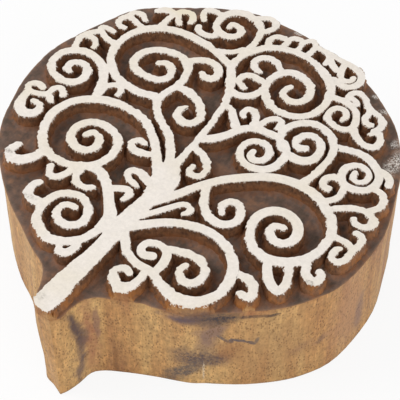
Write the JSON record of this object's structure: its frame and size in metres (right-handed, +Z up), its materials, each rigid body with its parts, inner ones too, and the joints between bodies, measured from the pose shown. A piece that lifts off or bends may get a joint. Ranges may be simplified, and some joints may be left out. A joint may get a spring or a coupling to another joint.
{
  "type": "wooden printing stamp",
  "caption": "Leaf-shaped hand-carved wooden printing stamp, lying on its flat back, with a tree of scrolls standing in low relief on its face.",
  "frame": {"origin": "centre of the bounding box at the flat back, so z = 0 is the plane the stamp lies on", "axes": "+Z up out of the carved face, -Y towards the leaf's tip where the tree's trunk starts, +Y towards the crown, +X towards the right flank"},
  "size_m": [0.1064, 0.1136, 0.0346],
  "materials": {
    "body_wood": "satin",
    "carved_relief": "matte"
  },
  "bodies": {
    "root": {"block": "body_wood", "trunk": "carved_relief", "left_scrolls": "carved_relief", "right_scrolls": "carved_relief", "crown_scrolls": "carved_relief", "rim_tendrils": "carved_relief"}
  },
  "joints": []
}
